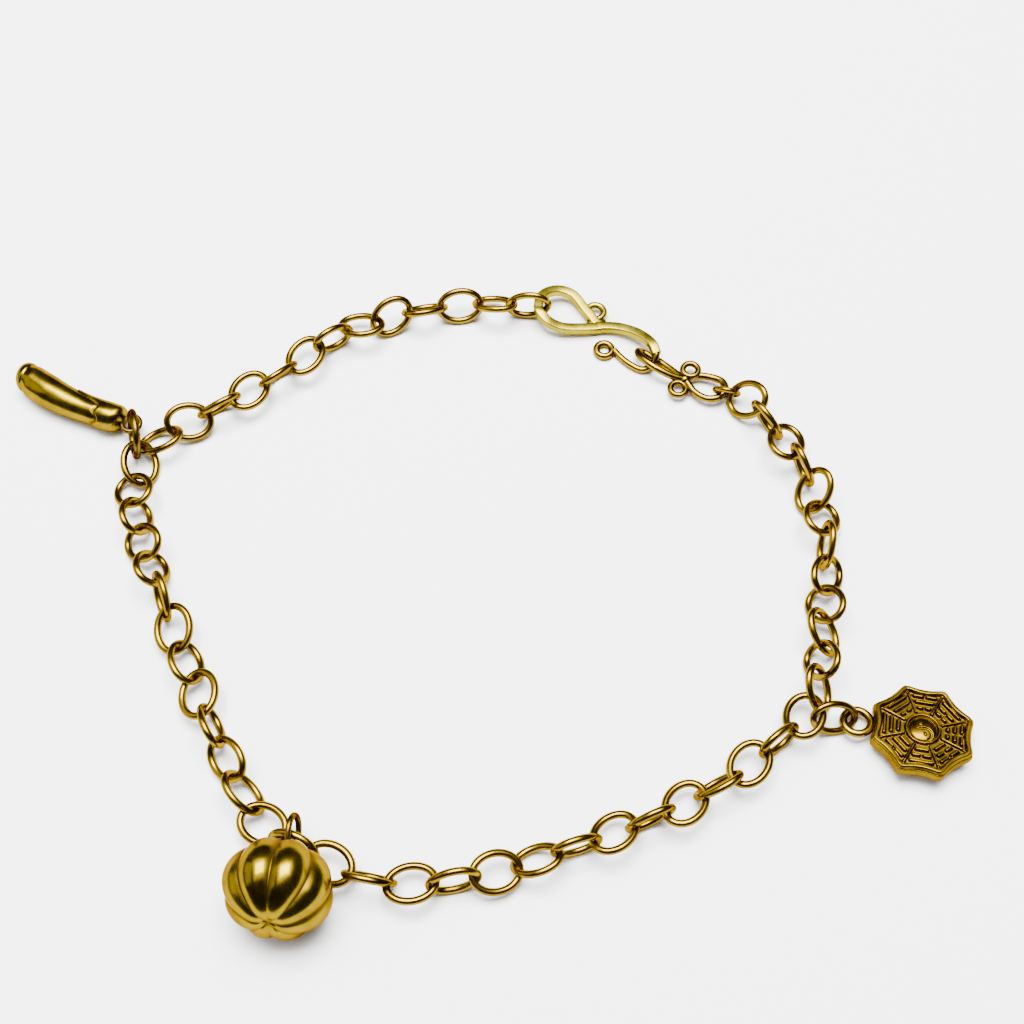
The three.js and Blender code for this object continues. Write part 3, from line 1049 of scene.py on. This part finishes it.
@dataclass
class Melon:
    """The melon: eight round lobes with sharp grooves between them, and its stem's loop."""

    radius: float = 4.65
    pole: float = 3.8
    lobes: int = 8
    lobe_centre: float = 2.75
    middle: Vec = (-19.0, -37.36, 4.38)
    stem: Vec = (0.12, 0.92, -0.37)
    pole_dimple: float = 0.42
    loop: LinkSize = LinkSize.plain_ring(1.86, 0.42)
    loop_past: float = 0.55
    neck_inside: float = 0.35
    neck_radii: Vec = (0.62, 0.62, 0.45)

    def build(self, shop: Workshop, rings: LinkTree) -> None:
        """Makes the charm.

        Args:
            shop: The workshop.
            rings: The links' tree, for the loop.
        """
        steps, around = 120, self.lobes * 48
        polar = np.linspace(0, math.pi, steps)[:, None]
        angle = np.linspace(0, FULL_TURN, around, endpoint=False)[None, :]
        half = math.pi / self.lobes
        inside = np.mod(angle, 2 * half) - half
        rho = self.radius - self.lobe_centre
        arc = self.lobe_centre * np.cos(inside) + np.sqrt(
            rho ** 2 - (self.lobe_centre * np.sin(inside)) ** 2)
        depth = self.radius - arc
        ring = np.sin(polar)
        fade = np.clip(ring * 1.5, 0, 1) ** 0.8
        dimple = self.pole_dimple * np.exp(-((ring / 0.2) ** 2))
        scar = 0.05 * np.sin(5 * angle + 1.0) * np.exp(-((ring - 0.09) / 0.06) ** 2)
        wide = (self.radius - depth * fade) * ring
        tall = -np.cos(polar) * (self.pole - 0.5 * depth * fade - dimple) + scar * np.cos(polar)
        local = np.stack([wide * np.cos(angle), wide * np.sin(angle), tall], axis=-1)
        z = np.array(self.stem) / np.linalg.norm(self.stem)
        back = np.cross(z, [1, 0, 0])
        back /= np.linalg.norm(back)
        directions = np.column_stack([np.cross(back, z), back, z])
        rows = local @ directions.T + np.array(self.middle)
        # Painted shade and tarnish in the grooves between the lobes and round both poles
        deepest = float(depth.max())
        hollow = smoothstep(0.35 * deepest, deepest, depth * fade) + np.exp(-((ring / 0.1) ** 2))
        cast = shop.material(Finish.SMOOTH_CAST)
        mesh = grid_mesh("melon_body", rows, np.clip(hollow, 0, 1))
        body = finished_object("melon_body", mesh, cast)
        loop_middle, neck_middle = (
            np.array([0, 0, height]) @ directions.T + np.array(self.middle)
            for height in (self.pole + self.loop_past, self.pole - self.neck_inside))
        turned = directions @ np.array(Matrix.Rotation(math.pi / 2, 3, "X"))
        loop = rings.links("melon_loop", [(loop_middle, turned)], self.loop, cast)
        neck = solder_bead("melon_neck", tuple(neck_middle), self.neck_radii, cast)
        shop.set_down(joined("melon_fruit", [body, loop, neck]), ["melon_charm"])


class Bar(Enum):
    """A bar of the plaque's pattern."""

    WHOLE = "whole"
    BROKEN = "broken"


@dataclass(frozen=True)
class Field:
    """One of the plaque's eight fields, its bars from the middle outwards."""

    inner: Bar
    mid: Bar
    outer: Bar


@dataclass
class OctagonPlaque:
    """The plaque: cast with eight points and hollow sides, a raised rim, eight ridges, three bars
    to a field in the old eight-fold pattern, and a ring round a domed middle."""

    tip: float = 4.85
    waist: float = 4.15
    thick: float = 1.0
    relief: float = 0.32
    tilt: float = 10.0
    turn: float = 101.0
    middle: tuple[float, float] = (35.7, -22.8)
    fields: tuple[Field, ...] = (
        Field(Bar.BROKEN, Bar.WHOLE, Bar.WHOLE),
        Field(Bar.WHOLE, Bar.WHOLE, Bar.WHOLE),
        Field(Bar.WHOLE, Bar.WHOLE, Bar.BROKEN),
        Field(Bar.WHOLE, Bar.BROKEN, Bar.WHOLE),
        Field(Bar.WHOLE, Bar.BROKEN, Bar.BROKEN),
        Field(Bar.BROKEN, Bar.BROKEN, Bar.BROKEN),
        Field(Bar.BROKEN, Bar.BROKEN, Bar.WHOLE),
        Field(Bar.BROKEN, Bar.WHOLE, Bar.BROKEN),
    )
    bars_at: tuple[float, float, float] = (2.12, 2.72, 3.32)
    bars_long: tuple[float, float, float] = (1.1, 1.6, 2.05)
    bar_half: float = 0.13
    bar_split: float = 0.14
    ring_radius: float = 1.42
    dome_radius: float = 1.2
    loop: LinkSize = LinkSize.plain_ring(3.12, 0.72)
    loop_out: float = 5.6
    loop_direction: float = 168.5

    def outline(self, angle: np.ndarray) -> np.ndarray:
        """Finds how far the outline is from the middle.

        Args:
            angle: Directions in radians.

        Returns:
            The distances.
        """
        bend = 2 * self.waist - self.tip * math.cos(EIGHTH_TURN / 2)
        t = np.linspace(0, 1, 200)
        corner = np.array([math.cos(EIGHTH_TURN), math.sin(EIGHTH_TURN)]) * self.tip
        pull = np.array([math.cos(EIGHTH_TURN / 2), math.sin(EIGHTH_TURN / 2)]) * bend
        side = ((1 - t) ** 2)[:, None] * np.array([self.tip, 0])
        side = side + (2 * t * (1 - t))[:, None] * pull + (t ** 2)[:, None] * corner
        way = np.mod(angle, EIGHTH_TURN)
        far = np.interp(way, np.arctan2(side[:, 1], side[:, 0]), np.linalg.norm(side, axis=1))
        # Points are blunt, as on a casting
        from_point = np.abs(np.mod(angle + EIGHTH_TURN / 2, EIGHTH_TURN) - EIGHTH_TURN / 2)
        return far - 0.16 * np.exp(-((from_point / 0.05) ** 2))

    def height(self, x: np.ndarray, y: np.ndarray, inset: np.ndarray) -> np.ndarray:
        """Finds the relief's height over the field.

        Args:
            x: Along the first point.
            y: Across it.
            inset: Distance in from the outline.

        Returns:
            The heights.
        """
        radius, angle = np.hypot(x, y), np.arctan2(y, x)
        up = self.relief
        rim = up * 1.05 * smoothstep(0.74, 0.46, inset) * (0.7 + 0.3 * smoothstep(0.0, 0.25, inset))
        channel = -0.08 * np.exp(-((inset - 0.82) / 0.09) ** 2)
        way = np.mod(angle + EIGHTH_TURN / 2, EIGHTH_TURN) - EIGHTH_TURN / 2
        off_ridge = np.abs(radius * np.sin(way))
        ridge = 0.85 * up * smoothstep(0.17, 0.05, off_ridge) * smoothstep(1.6, 1.75, radius)
        ridge *= smoothstep(0.55, 0.8, inset)
        total = np.maximum(rim, ridge) + channel
        number = np.floor(np.mod(angle, FULL_TURN) / EIGHTH_TURN).astype(int) % 8
        mid = (number + 0.5) * EIGHTH_TURN
        u, v = radius * np.cos(angle - mid), np.abs(radius * np.sin(angle - mid))
        for k, row in enumerate(self.fields):
            for at, long, bar in zip(self.bars_at, self.bars_long, (row.inner, row.mid, row.outer)):
                start = self.bar_split if bar is Bar.BROKEN else -1.0
                past_ends = np.maximum(np.maximum(v - long / 2 + 0.1, start + 0.1 - v), 0)
                out = np.hypot(past_ends, u - at) - self.bar_half
                shape = 0.95 * up * smoothstep(0.1, -0.08, out)
                total = np.maximum(total, np.where(number == k, shape, -1))
        ring = 0.95 * up * smoothstep(0.2, 0.05, np.abs(radius - self.ring_radius))
        total = np.maximum(total, ring)
        dome = 0.9 * up * np.sqrt(np.clip(1 - (radius / self.dome_radius) ** 2, 0, 1))
        # Two curled drops in the dome, parted by an S-shaped groove, an eye in each
        upper, lower = np.hypot(x - 0.55, y), np.hypot(x + 0.55, y)
        s_curve = np.where(y > 0, np.abs(upper - 0.55), np.abs(lower - 0.55))
        dome = dome - 0.12 * smoothstep(0.14, 0.02, s_curve) * (radius < self.dome_radius)
        dome = dome + 0.1 * smoothstep(0.2, 0.08, upper) - 0.12 * smoothstep(0.2, 0.08, lower)
        return np.where(radius < self.dome_radius + 0.02, dome, total)

    def build(self, shop: Workshop, rings: LinkTree) -> None:
        """Makes the charm.

        Args:
            shop: The workshop.
            rings: The links' tree, for the loop.
        """
        around = 8 * 56
        angle = np.linspace(0, FULL_TURN, around, endpoint=False)[None, :]
        far = self.outline(angle)
        # Rings over the face, then closer ones over the rounded edge
        edge_rings = 1 - 0.03 * (1 - np.sin(np.linspace(0.1, math.pi / 2, 9)))
        share = np.concatenate([[0.0], np.linspace(0.02, 0.97, 128), edge_rings])[:, None]
        x, y = share * far * np.cos(angle), share * far * np.sin(angle)
        inset = (1 - share) * far * 0.96
        relief = self.height(x, y, inset)
        top = self.thick + relief
        edge = smoothstep(0.0, 0.3, inset)
        top = top - 0.26 * (1 - edge) ** 2
        # Painted shade and tarnish on the field below the relief, away from the rounded edge
        hollow = (smoothstep(0.2 * self.relief, -0.1 * self.relief, relief)
                  * smoothstep(0.3, 0.6, inset))
        rows = [np.stack([x, y, top], axis=-1)]
        # Down the side and under the back: each ring's size and its share of the thickness
        under = ((1.004, 0.78), (1.006, 0.55), (1.004, 0.3), (0.996, 0.12), (0.975, 0.0),
                 (0.6, 0.0), (0.0, 0.0))
        for scale, height in under:
            z = np.full_like(far, height * self.thick)
            rows.append(np.stack([scale * far * np.cos(angle), scale * far * np.sin(angle), z],
                                 axis=-1))
        local = np.concatenate(rows)
        hollow = np.concatenate([hollow, np.zeros((len(under), around))])
        spin = Matrix.Rotation(math.radians(self.turn), 3, "Z")
        tip_down = Matrix.Rotation(-math.radians(self.tilt), 3, "X")
        directions = np.array(tip_down @ spin)
        points = local @ directions.T
        low = float(points[..., 2].min())
        offset = np.array([*self.middle, -low])
        cast = shop.material(Finish.RELIEF_CAST)
        mesh = grid_mesh("plaque_body", points + offset, hollow)
        body = finished_object("plaque_body", mesh, cast)
        reach = math.radians(self.loop_direction)
        place = np.array([self.loop_out * math.cos(reach), self.loop_out * math.sin(reach),
                          self.thick / 2])
        flat = np.array(tip_down)
        loop = rings.links("plaque_loop", [(place @ flat.T + offset, flat)], self.loop,
                           shop.material(Finish.WIRE), sides=24)
        shop.set_down(joined("octagon_plaque", [body, loop]), ["octagon_charm"])


# Surroundings


@dataclass
class Studio:
    """A pale floor, soft overhead light and the camera."""

    elevation: float = 61.0
    distance_mm: float = 154.0
    lens: float = 57.23
    floor_half: float = 1.5

    def floor(self) -> None:
        """Lays a pale matt floor."""
        mesh = bpy.data.meshes.new("floor")
        half = self.floor_half
        mesh.from_pydata([(-half, -half, 0), (half, -half, 0), (half, half, 0), (-half, half, 0)],
                         [], [(0, 1, 2, 3)])
        made = bpy.data.objects.new("floor", mesh)
        bpy.context.scene.collection.objects.link(made)
        paper = bpy.data.materials.new("white_card")
        paper.use_nodes = True
        shader = paper.node_tree.nodes["Principled BSDF"]
        shader.inputs["Base Color"].default_value = srgb("fbfbfb")
        shader.inputs["Roughness"].default_value = 0.9
        shader.inputs["Specular IOR Level"].default_value = 0.1
        mesh.materials.append(paper)

    def light(self, name: str, towards: Vec, away: float, size: tuple[float, float],
              power: float) -> None:
        """Hangs a soft rectangular light that faces the bracelet.

        Args:
            name: The light's name.
            towards: Direction from the bracelet to the light.
            away: Its distance in metres.
            size: Its width and height in metres.
            power: Its power in watts.
        """
        lamp = bpy.data.lights.new(name, "AREA")
        lamp.shape = "RECTANGLE"
        lamp.size, lamp.size_y = size
        lamp.energy = power
        made = bpy.data.objects.new(name, lamp)
        direction = Vector(towards).normalized()
        made.location = direction * away
        made.rotation_mode = "QUATERNION"
        made.rotation_quaternion = direction.to_track_quat("Z", "Y")
        bpy.context.scene.collection.objects.link(made)

    def surroundings(self) -> None:
        """Sets the dim room that the metal mirrors."""
        world = bpy.data.worlds.new("dim_room")
        world.use_nodes = True
        bpy.context.scene.world = world
        sky = world.node_tree.nodes["Background"]
        sky.inputs["Color"].default_value = srgb("ffffff")
        sky.inputs["Strength"].default_value = 0.08

    def camera(self) -> None:
        """Sets the camera where the photograph's was."""
        data = bpy.data.cameras.new("camera")
        data.lens = self.lens
        data.sensor_width = 36.0
        data.clip_start, data.clip_end = 0.01, 10.0
        made = bpy.data.objects.new("camera", data)
        aim = Vector(to_frame(np.array([0.0, 0.0, 0.0])).tolist())
        angle = math.radians(self.elevation)
        back = Vector((0, -math.cos(angle), math.sin(angle)))
        made.location = aim + back * self.distance_mm * MM
        made.rotation_mode = "QUATERNION"
        made.rotation_quaternion = back.to_track_quat("Z", "Y")
        bpy.context.scene.collection.objects.link(made)
        bpy.context.scene.camera = made

    def build(self) -> None:
        """Sets up the floor, lights, surroundings and camera."""
        self.camera()
        self.floor()
        self.surroundings()
        self.light("overhead_window", (-0.03, 0.18, 0.98), 0.6, (0.44, 0.32), 19.0)
        self.light("window_glow", (-0.03, 0.18, 0.98), 0.62, (0.8, 0.62), 7.0)
        self.light("side_fill", (-0.85, 0.05, 0.5), 0.9, (0.7, 0.6), 3.0)


def main() -> None:
    """Builds the bracelet's pieces in order, then the studio."""
    logging.basicConfig(level=logging.INFO, format="%(name)s: %(message)s")
    shop = Workshop()
    studio = Studio()
    studio.build()
    links, wires = LinkTree(), WireTree()
    CableChain().build(shop, links)
    for ring in RINGS:
        ring.build(shop, links)
    ClaspHook().build(shop, wires, links)
    ClaspEye().build(shop, wires, links)
    Aubergine().build(shop, links)
    Melon().build(shop, links)
    OctagonPlaque().build(shop, links)
    LOG.info("bracelet finished")


if __name__ == "__main__":
    main()
